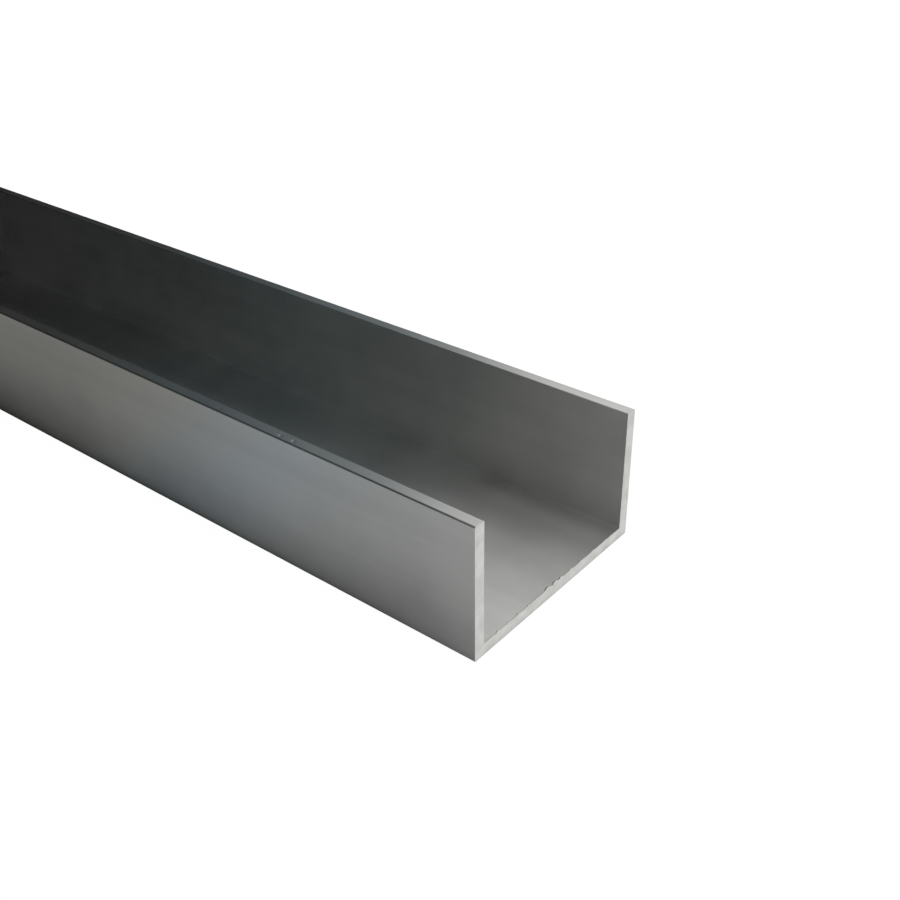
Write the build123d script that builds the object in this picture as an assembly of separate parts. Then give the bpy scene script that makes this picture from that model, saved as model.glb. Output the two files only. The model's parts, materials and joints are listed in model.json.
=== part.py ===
from build123d import *
import os

# Extruded aluminium U channel, sawn to a stock length.
# X runs along the length, Y across the web, and Z from the back of the web up to the flange tips.
# The origin is the middle of the web's back face. All sizes are in millimetres.

# Driving dimensions
LENGTH = 1000.0           # between the two sawn ends
WIDTH = 60.0              # across the outsides of the flanges
HEIGHT = 35.0             # from the back of the web to the flange tips
WEB_THICKNESS = 3.0
FLANGE_THICKNESS = 3.0
TIP_OUTER_RADIUS = 0.4    # outer edge of each flange tip
TIP_INNER_RADIUS = 0.2    # inner edge of each flange tip
ROOT_RADIUS = 0.2         # inside corners, where each flange meets the web
BACK_CORNER_RADIUS = 0.2  # outside corners, where each flange meets the back of the web

# The trough between the flanges
trough_width = WIDTH - 2 * FLANGE_THICKNESS
trough_depth = HEIGHT - WEB_THICKNESS


def corners_by_height(section):
    """The section's corners in rows: the back of the web, the bottom of the trough, then the tips.

    Each row runs from one side to the other, so the ends of a row are the outer corners."""
    return [row.sort_by(Axis.X) for row in section.vertices().group_by(Axis.Y)]


def channel_section():
    """The outline that the extrusion die gives, with every corner slightly eased."""
    with BuildSketch(Plane.YZ) as section:
        Rectangle(WIDTH, HEIGHT, align=(Align.CENTER, Align.MIN))
        with Locations((0, WEB_THICKNESS)):
            Rectangle(trough_width, trough_depth, align=(Align.CENTER, Align.MIN), mode=Mode.SUBTRACT)
        tips = corners_by_height(section)[-1]
        fillet([tips[0], tips[-1]], TIP_OUTER_RADIUS)
        fillet(corners_by_height(section)[-1][1:-1], TIP_INNER_RADIUS)
        fillet(corners_by_height(section)[1], ROOT_RADIUS)
        fillet(corners_by_height(section)[0], BACK_CORNER_RADIUS)
    return section.sketch


def u_channel():
    """The section drawn out both ways from its middle, with the two ends sawn square."""
    return extrude(channel_section(), amount=LENGTH / 2, both=True)


os.makedirs("parts", exist_ok=True)
export_step(u_channel(), "parts/u_channel.step")
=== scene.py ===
import json
import math
import random
import bmesh
import bpy
from mathutils import Euler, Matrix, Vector, noise


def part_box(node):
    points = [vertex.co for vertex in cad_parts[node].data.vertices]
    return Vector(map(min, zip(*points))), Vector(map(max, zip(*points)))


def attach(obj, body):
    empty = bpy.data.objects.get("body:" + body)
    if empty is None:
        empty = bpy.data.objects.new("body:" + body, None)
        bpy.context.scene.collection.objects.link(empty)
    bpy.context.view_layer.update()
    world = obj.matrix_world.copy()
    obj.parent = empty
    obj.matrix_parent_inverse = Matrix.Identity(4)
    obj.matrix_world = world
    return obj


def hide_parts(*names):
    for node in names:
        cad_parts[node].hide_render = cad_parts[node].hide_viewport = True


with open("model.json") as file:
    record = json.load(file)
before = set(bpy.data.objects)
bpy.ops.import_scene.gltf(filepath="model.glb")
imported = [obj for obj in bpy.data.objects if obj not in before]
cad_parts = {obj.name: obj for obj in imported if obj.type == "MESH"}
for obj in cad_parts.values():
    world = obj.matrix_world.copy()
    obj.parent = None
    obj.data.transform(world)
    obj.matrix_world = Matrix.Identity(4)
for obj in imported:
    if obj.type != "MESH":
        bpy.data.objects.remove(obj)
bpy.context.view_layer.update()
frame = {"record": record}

# The section's sizes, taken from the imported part, in metres
barLow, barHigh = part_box("u_channel")
mountAt = {mount["name"]: Vector(mount["pos_m"]) for mount in frame["record"]["mounts"]}
halfLength = barHigh.x
halfWidth = barHigh.y
barHeight = barHigh.z
webThickness = mountAt["web_inside"].z
flangeThickness = 2 * (halfWidth - mountAt["right_flange_tip"].y)
halfTrough = halfWidth - flangeThickness
edgeMargin = 0.0001        # a point this near to a face counts as on it

noiseMiddle = 0.5          # noise goes from 0 to 1 around this
plainDetail = 2.0          # how fine the noise goes
cloudyDetail = 4.0


# Gives a ramp its stops, as place: brightness
def fillRamp(ramp, stops):
    while len(ramp.elements) < len(stops):
        ramp.elements.new(1.0)
    for element, (place, level) in zip(ramp.elements, sorted(stops.items())):
        element.position = place
        element.color = (level, level, level, 1.0)


# One socket of a shader, wrapped so that sums can be written with it
class Wire:
    def __init__(self, tree, socket=None):
        self.tree = tree
        self.socket = socket

    # Any node: its type, its settings, then the values or links of its sockets
    def node(self, kind, settings=None, inputs=None, output=0):
        made = self.tree.nodes.new(kind)
        for name, value in (settings or {}).items():
            if name == "stops":
                fillRamp(made.color_ramp, value)
            else:
                setattr(made, name, value)
        for name, value in (inputs or {}).items():
            if isinstance(value, Wire):
                self.tree.links.new(value.socket, made.inputs[name])
            else:
                made.inputs[name].default_value = value
        return Wire(self.tree, made.outputs[output]) if made.outputs else None

    # Another output of the same node
    def also(self, output):
        return Wire(self.tree, self.socket.node.outputs[output])

    # Values go through Math, vectors and colours through Vector Math
    def calc(self, operation, first, second=0.0):
        if self.socket.type in ("VECTOR", "RGBA"):
            kind = "ShaderNodeVectorMath"
            second = second if isinstance(second, (Wire, tuple)) else (second,) * 3
        else:
            kind = "ShaderNodeMath"
        return self.node(kind, {"operation": operation}, {0: first, 1: second})

    def __add__(self, other):
        return self.calc("ADD", self, other)

    def __sub__(self, other):
        return self.calc("SUBTRACT", self, other)

    def __rsub__(self, other):
        return self.calc("SUBTRACT", other, self)

    def __mul__(self, other):
        return self.calc("MULTIPLY", self, other)

    def __truediv__(self, other):
        return self.calc("DIVIDE", self, other)

    def __rtruediv__(self, other):
        return self.calc("DIVIDE", other, self)

    def __rpow__(self, other):
        return self.calc("POWER", other, self)

    def __abs__(self):
        return self.calc("ABSOLUTE", self)

    __radd__ = __add__
    __rmul__ = __mul__

    def isBelow(self, other):
        return self.calc("LESS_THAN", self, other)

    def isAbove(self, other):
        return self.calc("GREATER_THAN", self, other)

    def atLeast(self, other):
        return self.calc("MAXIMUM", self, other)

    def distanceTo(self, point):
        return self.node("ShaderNodeVectorMath", {"operation": "DISTANCE"}, {0: self, 1: point}, "Value")

    # A soft step from 0 below low to 1 above high
    def ease(self, low, high):
        values = {"Value": self, "From Min": low, "From Max": high}
        return self.node("ShaderNodeMapRange", {"interpolation_type": "SMOOTHSTEP"}, values)

    # Up from 0 to 1 between the first two values, and down again between the last two
    def between(self, first, second, third, fourth):
        return self.ease(first, second) - self.ease(third, fourth)

    # Levels read off a curve by where this value, from -1 to 1, falls between its stops
    def ramp(self, stops):
        top = max(stops.values())
        shifted = {(place + 1) / 2: level / top for place, level in stops.items()}
        ramp = self.node("ShaderNodeValToRGB", {"stops": shifted}, {"Fac": (self + 1) / 2})
        return self.node("ShaderNodeRGBToBW", inputs={0: ramp}) * top

    # From one colour to another as this value goes from 0 to 1
    def blend(self, *colours):
        first, second = (colour if isinstance(colour, Wire) else colour + (1.0,) for colour in colours)
        return self.node("ShaderNodeMix", {"data_type": "RGBA"}, {0: self, 6: first, 7: second}, 2)

    # Relief this many metres deep, standing highest where this value is 1
    def bump(self, depth):
        return self.node("ShaderNodeBump", inputs={"Height": self, "Distance": depth, "Strength": 1.0})

    # This shader for what the metal mirrors, and the other one for what the camera sees
    def unlessSeen(self, other):
        seen = self.node("ShaderNodeLightPath", output="Is Camera Ray")
        return self.node("ShaderNodeMixShader", inputs={0: seen, 1: self, 2: other})


# A vector's three parts
def axesOf(place):
    split = place.node("ShaderNodeSeparateXYZ", inputs={0: place})
    return split, split.also("Y"), split.also("Z")


# Noise whose grains are about this long along X, Y and Z, in metres
def grain(place, sizes, detail=plainDetail):
    scaled = place * tuple(1 / size for size in sizes)
    values = {"Vector": scaled, "Scale": 1.0, "Detail": detail}
    return place.node("ShaderNodeTexNoise", inputs=values, output="Fac")


# 1 beside one of the section's corners, on both sides of the bar, and 0 away from it
def besideCorner(place, across, up, reach):
    folded = abs(place) * (0.0, 1.0, 1.0)
    return 1 - folded.distanceTo((0.0, across, up)).ease(*reach)


# The emptied tree of a material or a world
def emptyTree(owner):
    owner.use_nodes = True
    owner.node_tree.nodes.clear()
    return Wire(owner.node_tree)


def newMaterial(name):
    material = bpy.data.materials.new(name)
    return material, emptyTree(material)


# The metal shader that ends a finish, with its sockets' values and links
def endFinish(start, surface):
    shader = start.node("ShaderNodeBsdfPrincipled", inputs={"Metallic": 1.0, **surface})
    start.node("ShaderNodeOutputMaterial", inputs={"Surface": shader})


millFinish = {
    "darkColour": (0.50, 0.505, 0.50),
    "lightColour": (0.60, 0.60, 0.59),
    "contrast": (0.3, 0.7),               # noise levels at the dark colour and at the light one
    "roughness": 0.34,
    "acrossGrain": 0.94,                  # how much more the lines blur a reflection across than along
    "grainTurn": 0.25,                    # a quarter turn, so that the blur goes across the bar
    "lineSize": (0.30, 0.0005, 0.0005),   # die lines, drawn out along the bar
    "bandSize": (0.60, 0.006, 0.006),     # broader streaks from the die
    "cloudSize": (0.020, 0.020, 0.020),   # handling and storage
    "bandShare": 0.4,                     # the streaks' part in the colour, the clouds having the rest
    "lineDepth": 0.0000015,
    "lineRoughness": 0.08,
    "cloudRoughness": 0.10,
    "tipPaintedShade": 0.5,                    # painted shade: how much darker the outer edges of the tips are
    "tipReach": (0.0002, 0.00042),        # up to the first distance, and none beyond the second
    # painted shade along the inner edges of the tips
    "innerPaintedShade": 0.3,
    "innerReach": (0.0001, 0.00024),
    "wallPaintedShade": 0.11,                  # painted shade inside the trough, up the +Y wall from its root
    "wallReach": (0.002, 0.013),
    "floorPaintedShade": 0.26,                 # and out across the floor
    "floorReach": (0.0015, 0.008),
    "rootPaintedShade": 0.07,                  # and in the root itself
    "rootReach": (0.0001, 0.0002),
    "rootsFromEnd": (0.045, 0.036),       # these three come in between these distances from the sawn ends
}


# Painted shade: how much darker the metal is painted at the section's corners and beside the roots
def cornerPaintedShade(place):
    along, across, up = axesOf(abs(place))
    farthest, nearest = millFinish["rootsFromEnd"]
    nearEnd = along.ease(halfLength - farthest, halfLength - nearest)
    farSide = axesOf(place)[1].isAbove(0.0)
    insideWalls = across.isBelow(halfTrough + edgeMargin)
    aboveUnderside = up.isAbove(webThickness - edgeMargin)
    aboveFloor = up.isAbove(webThickness + edgeMargin)
    atTip = besideCorner(place, halfWidth, barHeight, millFinish["tipReach"])
    atInnerEdge = besideCorner(place, halfTrough, barHeight, millFinish["innerReach"])
    upWall = besideCorner(place, halfTrough, webThickness, millFinish["wallReach"]) * aboveFloor
    onFloor = besideCorner(place, halfTrough, webThickness, millFinish["floorReach"])
    onFloor = onFloor * (aboveUnderside - aboveFloor)
    atRoot = besideCorner(place, halfTrough, webThickness, millFinish["rootReach"])
    inTrough = upWall * millFinish["wallPaintedShade"] + onFloor * millFinish["floorPaintedShade"]
    inTrough = inTrough + atRoot * millFinish["rootPaintedShade"]
    outside = atTip * millFinish["tipPaintedShade"] + atInnerEdge * millFinish["innerPaintedShade"]
    return outside + inTrough * insideWalls * nearEnd * farSide


# Aluminium as it left the die: satin, with fine lines along its length and a slightly cloudy sheen
def makeMillFinish():
    material, start = newMaterial("millFinish")
    place = start.node("ShaderNodeTexCoord", output="Object")
    lines = grain(place, millFinish["lineSize"])
    bands = grain(place, millFinish["bandSize"])
    clouds = grain(place, millFinish["cloudSize"], cloudyDetail)
    mottle = bands * millFinish["bandShare"] + clouds * (1 - millFinish["bandShare"])
    mottle = mottle.ease(*millFinish["contrast"])
    colour = mottle.blend(millFinish["darkColour"], millFinish["lightColour"])
    roughness = millFinish["roughness"] + (lines - noiseMiddle) * millFinish["lineRoughness"]
    roughness = roughness + (clouds - noiseMiddle) * millFinish["cloudRoughness"]
    surface = {
        # painted shade darkens the colour at the tips' edges and beside the +Y root near the sawn ends
        "Base Color": colour * (1 - cornerPaintedShade(place)),
        "Roughness": roughness,
        "Anisotropic": millFinish["acrossGrain"],
        "Anisotropic Rotation": millFinish["grainTurn"],
        "Normal": lines.bump(millFinish["lineDepth"]),
    }
    endFinish(start, surface)
    return material


sawnFinish = {
    "darkColour": (0.62, 0.62, 0.60),
    "lightColour": (0.77, 0.77, 0.75),
    "contrast": (0.25, 0.75),
    "roughness": 0.55,
    "mottleRoughness": 0.15,
    "mottleSize": (0.003, 0.003, 0.003),
    "mottleRelief": 0.5,                   # beside the relief of the tooth marks
    "bladeCentre": (-0.10, 0.16),          # where the saw's arbor was, across and up from the web
    "scoreSize": 0.0005,                   # from one tooth mark to the next
    "scoreDepth": 0.00001,
    "scoreShare": 0.2,                     # their part in the colour
}


# The cut ends: brighter and duller than the mill finish, scored in arcs by the saw's teeth
def makeSawnFinish():
    material, start = newMaterial("sawnFinish")
    place = start.node("ShaderNodeTexCoord", output="Object")
    reach = (place * (0.0, 1.0, 1.0)).distanceTo((0.0, *sawnFinish["bladeCentre"]))
    values = {"W": reach / sawnFinish["scoreSize"], "Scale": 1.0, "Detail": plainDetail}
    scores = start.node("ShaderNodeTexNoise", {"noise_dimensions": "1D"}, values, "Fac")
    mottle = grain(place, sawnFinish["mottleSize"], cloudyDetail)
    tone = mottle * (1 - sawnFinish["scoreShare"]) + scores * sawnFinish["scoreShare"]
    tone = tone.ease(*sawnFinish["contrast"])
    relief = scores + mottle * sawnFinish["mottleRelief"]
    surface = {
        "Base Color": tone.blend(sawnFinish["darkColour"], sawnFinish["lightColour"]),
        "Roughness": sawnFinish["roughness"] + (mottle - noiseMiddle) * sawnFinish["mottleRoughness"],
        "Normal": relief.bump(sawnFinish["scoreDepth"]),
    }
    endFinish(start, surface)
    return material


burrFinish = {
    "darkColour": (0.62, 0.62, 0.60),
    "lightColour": (0.80, 0.80, 0.78),
    "contrast": (0.3, 0.7),
    "roughness": 0.50,
    "mottleRoughness": 0.15,
    "mottleSize": (0.0006, 0.0006, 0.0006),
}


# The torn lip along the cut: brighter than the metal that it stands on
def makeBurrFinish():
    material, start = newMaterial("burrFinish")
    place = start.node("ShaderNodeTexCoord", output="Object")
    mottle = grain(place, burrFinish["mottleSize"])
    tone = mottle.ease(*burrFinish["contrast"])
    surface = {
        "Base Color": tone.blend(burrFinish["darkColour"], burrFinish["lightColour"]),
        "Roughness": burrFinish["roughness"] + (mottle - noiseMiddle) * burrFinish["mottleRoughness"],
    }
    endFinish(start, surface)
    return material


channelBar = {
    "tipOuterRadius": 0.0004,     # the outer edge of each flange tip
    "tipInnerRadius": 0.0002,     # and its inner edge
    "rootRadius": 0.0001,         # inside, where a flange meets the web
    "backCornerRadius": 0.0002,   # outside, under each flange
    "arcSteps": 6,
    "flatGap": 0.010,             # between points across a flat
    "flatMargin": 0.0001,         # a close row beside each rounded edge keeps the flats flat
    "tipGap": 0.00015,            # across a flange tip, fine enough for its nicks
    "stationGap": 0.002,          # between rings along the bar
    "nickGap": 0.00012,           # between rings at a nick
    "cutEase": 0.00006,           # the sawn edges are just broken
    "cutSteps": 4,
    "wearDepth": 0.00005,         # how unevenly the outer edges of the tips are worn
    "wearSize": 0.004,
    "wearLevel": 0.5,             # added to noise that goes from about -0.5 to 0.5
    "wearApart": 10.0,            # sets the two flanges apart in the noise, so that each wears its own way
    "grainFrom": 100.0,           # texture space set far to one side, so that the grain lies lengthwise
}

tipNicks = {
    "depths": {0.0519: 0.00005, 0.0560: 0.00006, 0.0763: 0.00004},    # by distance from the sawn end
    "fromOutside": 0.0012,
    "halfLength": 0.0005,
    "halfWidth": 0.0003,
}


# The section's outline as points with their outward directions, anticlockwise seen from +X
def sectionRing():
    rightHalf = [
        (Vector((halfWidth, 0)), channelBar["backCornerRadius"]),
        (Vector((halfWidth, barHeight)), channelBar["tipOuterRadius"]),
        (Vector((halfTrough, barHeight)), channelBar["tipInnerRadius"]),
        (Vector((halfTrough, webThickness)), channelBar["rootRadius"]),
    ]
    leftHalf = [(Vector((-corner.x, corner.y)), radius) for corner, radius in reversed(rightHalf)]
    corners = rightHalf + leftHalf
    ring = []
    for index, (corner, radius) in enumerate(corners):
        following, nextRadius = corners[(index + 1) % len(corners)]
        arriving = (corner - corners[index - 1][0]).normalized()
        leaving = (following - corner).normalized()
        side = 1 if arriving.cross(leaving) > 0 else -1
        centre = corner + (leaving - arriving) * radius
        for step in range(channelBar["arcSteps"] + 1):
            angle = math.pi / 2 * step / channelBar["arcSteps"]
            spoke = arriving * math.sin(angle) - leaving * math.cos(angle)
            ring.append((centre + spoke * radius, spoke * side))
        flatStart = corner + leaving * radius
        flatEnd = following - leaving * nextRadius
        isTip = abs(leaving.x) > 0.5 and corner.y == barHeight
        gap = channelBar["tipGap"] if isTip else channelBar["flatGap"]
        outward = Vector((leaving.y, -leaving.x))
        flatStart += leaving * channelBar["flatMargin"]
        flatEnd -= leaving * channelBar["flatMargin"]
        count = math.ceil((flatEnd - flatStart).length / gap)
        for step in range(count + 1):
            ring.append((flatStart.lerp(flatEnd, step / count), outward))
    return ring


# How deep the nicks are at a point of the near flange's tip
def nickDepth(along, across):
    depth = 0.0
    for fromEnd, deepest in tipNicks["depths"].items():
        lengthwise = (along - halfLength + fromEnd) / tipNicks["halfLength"]
        crosswise = (across + halfWidth - tipNicks["fromOutside"]) / tipNicks["halfWidth"]
        depth += deepest * math.exp(-lengthwise ** 2 - crosswise ** 2)
    return depth


# How far the outline is worn back at a point: only along the outer edges of the tips
def edgeWear(along, place, outward):
    slant = min(abs(outward.x), abs(outward.y)) * math.sqrt(2)     # 1 in the middle of the rounded edge
    radius = channelBar["tipOuterRadius"]
    if place.y < barHeight - radius or abs(place.x) < halfWidth - radius:
        return 0.0
    spot = Vector((along / channelBar["wearSize"], place.x / halfWidth * channelBar["wearApart"], 0))
    return channelBar["wearDepth"] * slant * (noise.noise(spot) + channelBar["wearLevel"])


# Places along the bar, each with how far its ring is drawn in: close together at the nicks and the cuts
def barStations():
    ease = channelBar["cutEase"]
    turns = [math.pi / 2 * step / channelBar["cutSteps"] for step in range(channelBar["cutSteps"] + 1)]
    rightEnd = [(halfLength - ease - channelBar["flatMargin"], 0.0)]
    rightEnd += [(halfLength - ease + ease * math.sin(turn), ease * (1 - math.cos(turn))) for turn in turns]
    leftEnd = [(-along, inset) for along, inset in reversed(rightEnd)]
    nicks = [halfLength - fromEnd for fromEnd in tipNicks["depths"]]
    middle = []
    along = leftEnd[-1][0] + channelBar["stationGap"]
    while along < rightEnd[0][0] - channelBar["stationGap"] / 2:
        middle.append((along, 0.0))
        clear = min(abs(along - nick) for nick in nicks) - 2 * tipNicks["halfLength"]
        along += min(max(clear / 2, channelBar["nickGap"]), channelBar["stationGap"])
    return leftEnd + middle + rightEnd


def makeMesh(name, points, faces, materials, smooth=True):
    mesh = bpy.data.meshes.new(name)
    mesh.from_pydata(points, [], faces)
    for material in materials:
        mesh.materials.append(material)
    if smooth:
        mesh.shade_smooth()
    piece = bpy.data.objects.new(name, mesh)
    bpy.context.scene.collection.objects.link(piece)
    return piece


def makeChannelBar(mill, sawn):
    ring = sectionRing()
    stations = barStations()
    points = []
    for along, inset in stations:
        for place, outward in ring:
            across, up = place - outward * (inset + edgeWear(along, place, outward))
            if across < 0 and up > barHeight - channelBar["tipInnerRadius"]:
                up -= nickDepth(along, across)
            points.append((along, across, up))
    size = len(ring)
    faces = []
    for station in range(len(stations) - 1):
        first = station * size
        for index in range(size):
            after = (index + 1) % size
            faces.append((first + index, first + after, first + size + after, first + size + index))
    lastRing = (len(stations) - 1) * size
    faces.append(tuple(reversed(range(size))))
    faces.append(tuple(range(lastRing, lastRing + size)))
    bar = makeMesh("channel_bar", points, faces, [mill, sawn])
    for polygon in bar.data.polygons[-2:]:
        polygon.material_index = 1
    bar.data.use_auto_texspace = False
    bar.data.texspace_location = (0, channelBar["grainFrom"], 0)
    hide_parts("u_channel")
    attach(bar, "root")
    print("channel_bar", len(bar.data.polygons), "faces")


sawBurr = {
    "pointGap": 0.00015,
    "setBack": 0.00001,                  # from the sawn face
    "sunk": 0.00006,                     # its foot is inside the wall
    "flangeHeight": (0.00002, 0.00008),
    "webHeight": (0.00002, 0.00012),
    # the taller rags across the web: how high, by how far from its middle
    "rags": {-0.0240: 0.00014, -0.0218: 0.00030, -0.0188: 0.00012, -0.0145: 0.00028, -0.0107: 0.00014,
             -0.0081: 0.00012, -0.0036: 0.00036, -0.0028: 0.00038, -0.0005: 0.00034, 0.0002: 0.00030,
             0.0021: 0.00032, 0.0060: 0.00030, 0.0101: 0.00012, 0.0152: 0.00015, 0.0207: 0.00010},
    "ragSpread": (0.0007, 0.0012),       # a rag's whole width
    "ragUneven": (0.7, 1.1),
    "uneven": (0.7, 1.3),
    "waveSize": 0.0012,
    "waveLevel": 0.5,
    "waveApart": 1000.0,                 # sets edges of different lengths apart in the noise
    "taper": 0.0006,                     # it runs out over this length at a corner,
    "cornerShare": 0.1,                  # down to this share of its height
    "footWidth": 0.00010,
    "slope": 1.5,                        # how far it runs back along the wall for each part of its height
    "front": 0.6,                        # its front face goes straight up to this share of its height,
    "lean": 0.2,                         # and its crest leans back by this share,
    "leanUneven": (0.3, 1.7),            # more or less
    "backAt": 0.45,                      # its back bends at this share of its width
    "backHeight": 0.35,                  # and this share of its height
    "seed": 5,
}


# How high the burr stands at each point of one inside edge, with a few taller rags
def burrHeights(length, lowest, highest, rags, draw):
    count = math.ceil(length / sawBurr["pointGap"])
    tall = [(middle, extra, draw.uniform(*sawBurr["ragSpread"])) for middle, extra in rags.items()]
    heights = []
    for step in range(count + 1):
        walked = length * step / count
        spot = Vector((walked / sawBurr["waveSize"], length * sawBurr["waveApart"], sawBurr["seed"]))
        wave = noise.noise(spot) + sawBurr["waveLevel"]
        height = lowest + (highest - lowest) * wave * draw.uniform(*sawBurr["uneven"])
        for middle, extra, spread in tall:
            rag = math.exp(-((walked - middle) / spread * 2) ** 2)
            height += extra * rag * draw.uniform(*sawBurr["ragUneven"])
        fade = max(min(walked, length - walked) / sawBurr["taper"], sawBurr["cornerShare"])
        heights.append(max(height, lowest) * min(fade, 1.0))
    return heights


# The lip that the saw turned up along the inside edges of one end
def makeBurr(name, endSign, torn):
    draw = random.Random(sawBurr["seed"] + endSign)
    webRags = {halfTrough + middle: extra for middle, extra in sawBurr["rags"].items()}
    wall = barHeight - webThickness
    up, down, left, right = Vector((0, 1)), Vector((0, -1)), Vector((-1, 0)), Vector((1, 0))
    # each inside edge: where it starts, its heading and length, which way the lip stands and how high
    edges = [
        (Vector((-halfTrough, barHeight)), down, wall, right, sawBurr["flangeHeight"], {}),
        (Vector((-halfTrough, webThickness)), right, 2 * halfTrough, up, sawBurr["webHeight"], webRags),
        (Vector((halfTrough, webThickness)), up, wall, left, sawBurr["flangeHeight"], {}),
    ]
    points = []
    faces = []
    for start, heading, length, proud, (lowest, highest), rags in edges:
        heights = burrHeights(length, lowest, highest, rags, draw)
        first = len(points)
        for step, height in enumerate(heights):
            foot = start + heading * (length * step / (len(heights) - 1))
            width = sawBurr["footWidth"] + sawBurr["slope"] * height
            lean = sawBurr["lean"] * height * draw.uniform(*sawBurr["leanUneven"])
            profile = [
                (0.0, -sawBurr["sunk"]),
                (0.0, height * sawBurr["front"]),
                (lean, height),
                (lean + width * sawBurr["backAt"], height * sawBurr["backHeight"]),
                (width, -sawBurr["sunk"]),
            ]
            for back, rise in profile:
                spot = foot + proud * rise
                points.append((endSign * (halfLength - sawBurr["setBack"] - back), spot.x, spot.y))
        size = len(profile)
        last = first + size * (len(heights) - 1)
        for ring in range(first, last, size):
            for index in range(size):
                after = (index + 1) % size
                faces.append((ring + index, ring + after, ring + size + after, ring + size + index))
        faces.append(tuple(range(first, first + size)))
        faces.append(tuple(range(last, last + size)))
    burr = makeMesh(name, points, faces, [torn], smooth=False)
    work = bmesh.new()
    work.from_mesh(burr.data)
    bmesh.ops.recalc_face_normals(work, faces=work.faces)
    work.to_mesh(burr.data)
    work.free()
    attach(burr, "root")
    print(name, len(burr.data.polygons), "faces")


studio = {
    "backdrop": 1.0,
    # the light by how far a direction points sideways, -1 being due left
    "behind": {-0.97: 0.40, -0.91: 0.01, -0.80: 0.02, -0.70: 0.07, -0.62: 0.20, -0.585: 0.305,
               -0.555: 0.42, -0.52: 0.82, -0.48: 1.14, -0.42: 1.10, -0.15: 0.82, 0.4: 1.0},
    "above": {-0.97: 0.30, -0.91: 0.0, -0.80: 0.0, -0.70: 0.02, -0.62: 0.045, -0.55: 0.13,
              -0.48: 0.50, -0.42: 1.30, -0.34: 1.20, -0.15: 0.55, 0.4: 0.85},
    "inFront": {-0.97: 0.30, -0.91: 0.0, -0.80: 0.0, -0.70: 0.055, -0.62: 0.215, -0.55: 0.025,
                -0.47: 0.055, -0.40: 0.89, -0.34: 0.98, -0.15: 0.35, 0.4: 0.7},
    # degrees up from level behind the bar, between which each gives way to the next
    "toAbove": (60, 82),
    "toFront": (94, 116),
    # a narrow strip of light along the top of the wall behind
    "strip": {-0.95: 0.4, -0.84: 0.15, -0.76: 0.165, -0.66: 0.36, -0.60: 0.19, -0.56: 0.17,
              -0.52: 0.65, -0.42: 0.5, -0.34: 0.0},
    "stripAt": (52, 58, 63, 69),      # degrees where it comes in and where it goes out
    "tint": (1.0, 1.0, 0.98),
    "coolBehind": (0.83, 1.0, 1.09),
    "coolInFront": (0.68, 1.0, 1.06),
    # where the cool tints come in and where they go out
    "coolBehindAt": (-0.78, -0.71, -0.66, -0.50),
    "coolInFrontAt": (-0.78, -0.71, -0.54, -0.46),
}


# A white backdrop, and the soft light that the metal mirrors: broad to the right, dim to the left
def makeStudioLight():
    world = bpy.data.worlds.new("studioLight")
    bpy.context.scene.world = world
    start = emptyTree(world)
    direction = start.node("ShaderNodeTexCoord", output="Generated")
    sideways, away, up = axesOf(direction)
    parts = ("behind", "above", "inFront", "strip")
    behind, above, inFront, strip = (sideways.ramp(studio[part]) for part in parts)
    turned = up.calc("ARCTAN2", up, away) * math.degrees(1)
    toAbove = turned.ease(*studio["toAbove"])
    toFront = turned.ease(*studio["toFront"])
    light = behind * (1 - toAbove) + above * (toAbove - toFront) + inFront * toFront
    light = light + strip * turned.between(*studio["stripAt"])
    tintBehind = sideways.between(*studio["coolBehindAt"]).blend(studio["tint"], studio["coolBehind"])
    tintInFront = sideways.between(*studio["coolInFrontAt"]).blend(studio["tint"], studio["coolInFront"])
    tint = toFront.blend(tintBehind, tintInFront)
    soft = start.node("ShaderNodeBackground", inputs={"Color": tint * light})
    plain = {"Color": (1, 1, 1, 1), "Strength": studio["backdrop"]}
    white = start.node("ShaderNodeBackground", inputs=plain)
    start.node("ShaderNodeOutputWorld", inputs={"Surface": soft.unlessSeen(white)})
    print("light set")


tableTop = {
    "halfSize": 6.0,
    "below": 0.0001,           # under the bar
    "glow": 0.962,             # what the camera sees of it: its own even light
    "white": 0.085,            # and a little paint, which takes the bar's shade
    # what the metal mirrors of it: painted light, its tone by the place along the bar, rising towards the
    # right end
    "mirrorTone": {0.15: 0.32, 0.27: 0.375, 0.32: 0.385, 0.355: 0.485, 0.384: 0.555,
                   0.432: 0.625, 0.475: 0.65},
    # the painted light's tint along the bar, cool in its middle stretch as shade is
    "leftTint": (1.0, 1.0, 0.95),
    "middleTint": (0.91, 1.0, 1.08),
    "rightTint": (1.0, 1.0, 1.0),
    "middleAt": (0.35, 0.39, 0.403, 0.446),
    "openTone": 0.85,          # past the sawn ends it is fully lit,
    "endEdge": 0.001,          # which comes in from this far before them to this far past them
    "shadeReach": 0.023,       # beside the bar
    "shadeDepth": {0.33: 0.82, 0.39: 0.775, 0.43: 0.715, 0.475: 0.725, 0.499: 0.56},
    "contactShadowReach": 0.0011,       # painted contact shadow, where the bar nearly touches it
    "lineDepth": {0.35: 0.85, 0.38: 1.0, 0.42: 1.0, 0.44: 0.85, 0.47: 0.75, 0.50: 0.4},
}
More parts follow.
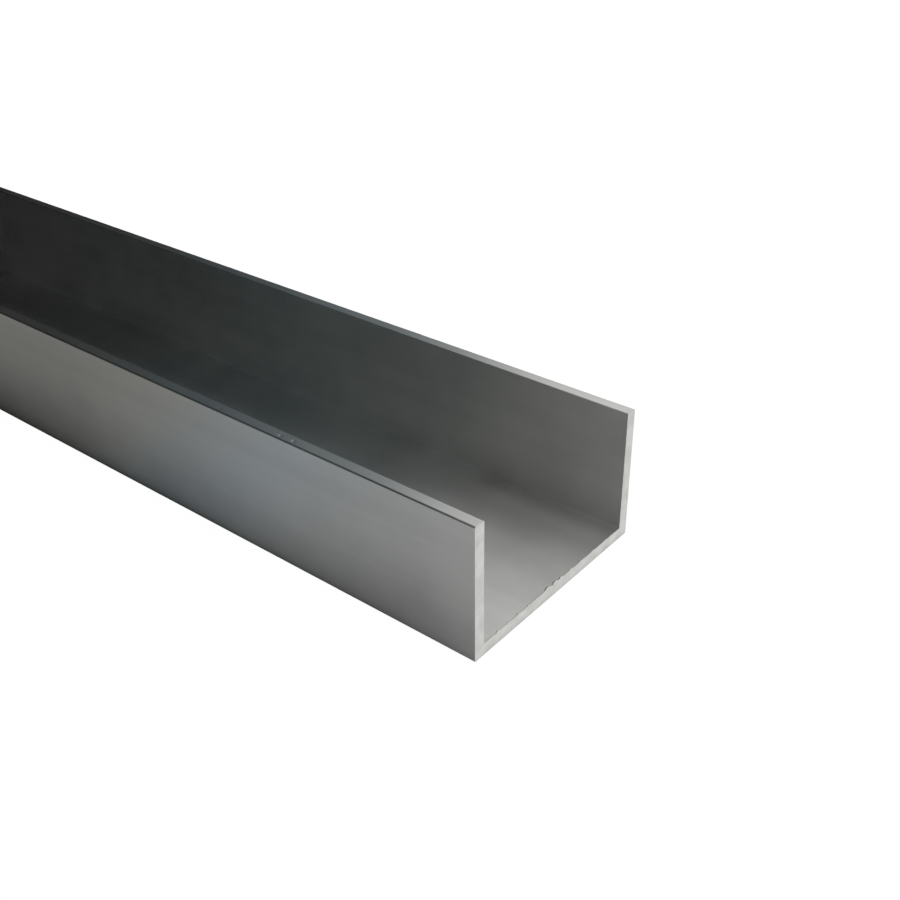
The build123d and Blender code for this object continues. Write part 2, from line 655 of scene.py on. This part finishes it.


# The pale table, with painted light and shadow of its own for what the metal mirrors of it
def makeTableTop():
    half = tableTop["halfSize"]
    corners = [(-half, -half, 0), (half, -half, 0), (half, half, 0), (-half, half, 0)]
    material, start = newMaterial("tableWhite")
    place = start.node("ShaderNodeNewGeometry", output="Position")
    along, across = axesOf(place)[:2]
    beside = (abs(across) - halfWidth).atLeast(0.0)
    wide = beside / tableTop["shadeReach"]
    close = beside / tableTop["contactShadowReach"]
    shade = math.e ** (wide * wide * -1.0) * along.ramp(tableTop["shadeDepth"])
    # painted shadow beside the bar and along its foot, in what the metal mirrors
    contactShadow = math.e ** (close * close * -1.0) * along.ramp(tableTop["lineDepth"])
    alongBar = along.ramp(tableTop["mirrorTone"]) * (1 - shade) * (1 - contactShadow)
    pastEnd = abs(along).ease(halfLength - tableTop["endEdge"], halfLength + tableTop["endEdge"])
    tone = alongBar + (tableTop["openTone"] - alongBar) * pastEnd
    tint = along.ease(*tableTop["middleAt"][:2]).blend(tableTop["leftTint"], tableTop["middleTint"])
    tint = along.ease(*tableTop["middleAt"][2:]).blend(tint, tableTop["rightTint"])
    # the painted light and shadow glow for every ray but the camera's
    mirrored = start.node("ShaderNodeEmission", inputs={"Color": tint * tone})
    glow = start.node("ShaderNodeEmission", inputs={"Color": (1, 1, 1, 1), "Strength": tableTop["glow"]})
    paint = start.node("ShaderNodeBsdfDiffuse", inputs={"Color": (tableTop["white"],) * 3 + (1.0,)})
    shown = start.node("ShaderNodeAddShader", inputs={0: glow, 1: paint})
    start.node("ShaderNodeOutputMaterial", inputs={"Surface": mirrored.unlessSeen(shown)})
    material.cycles.emission_sampling = "NONE"
    table = makeMesh("table_top", corners, [(0, 1, 2, 3)], [material])
    table.location.z = barLow.z - tableTop["below"]
    print("table_top set under the bar")


cameraView = {
    "fromEnd": (0.11602, -0.17845, 0.16845),   # from the middle of the right-hand end's lower edge
    "azimuth": 39.439,
    "elevation": 31.510,
    "roll": -0.797,
    "lens": 46.836,
    "sensor": 36.0,
    "nearClip": 0.01,
}


# The camera, at the photo's angle
def makeCamera():
    data = bpy.data.cameras.new("camera")
    data.lens = cameraView["lens"]
    data.sensor_width = cameraView["sensor"]
    data.clip_start = cameraView["nearClip"]
    camera = bpy.data.objects.new("camera", data)
    bpy.context.scene.collection.objects.link(camera)
    camera.location = Vector((halfLength, 0, barLow.z)) + Vector(cameraView["fromEnd"])
    heading = Euler((0, 0, math.radians(cameraView["azimuth"]))).to_matrix()
    tilt = Euler((math.radians(90 - cameraView["elevation"]), 0, 0)).to_matrix()
    roll = Euler((0, 0, math.radians(cameraView["roll"]))).to_matrix()
    camera.rotation_euler = (heading @ tilt @ roll).to_euler()
    bpy.context.scene.camera = camera
    print("camera set")


mill = makeMillFinish()
sawn = makeSawnFinish()
torn = makeBurrFinish()
print("finishes:", mill.name, sawn.name, torn.name)
makeChannelBar(mill, sawn)
makeBurr("burr_right_end", 1, torn)
makeBurr("burr_left_end", -1, torn)
makeStudioLight()
makeTableTop()
makeCamera()
bpy.context.scene.view_settings.view_transform = "Standard"
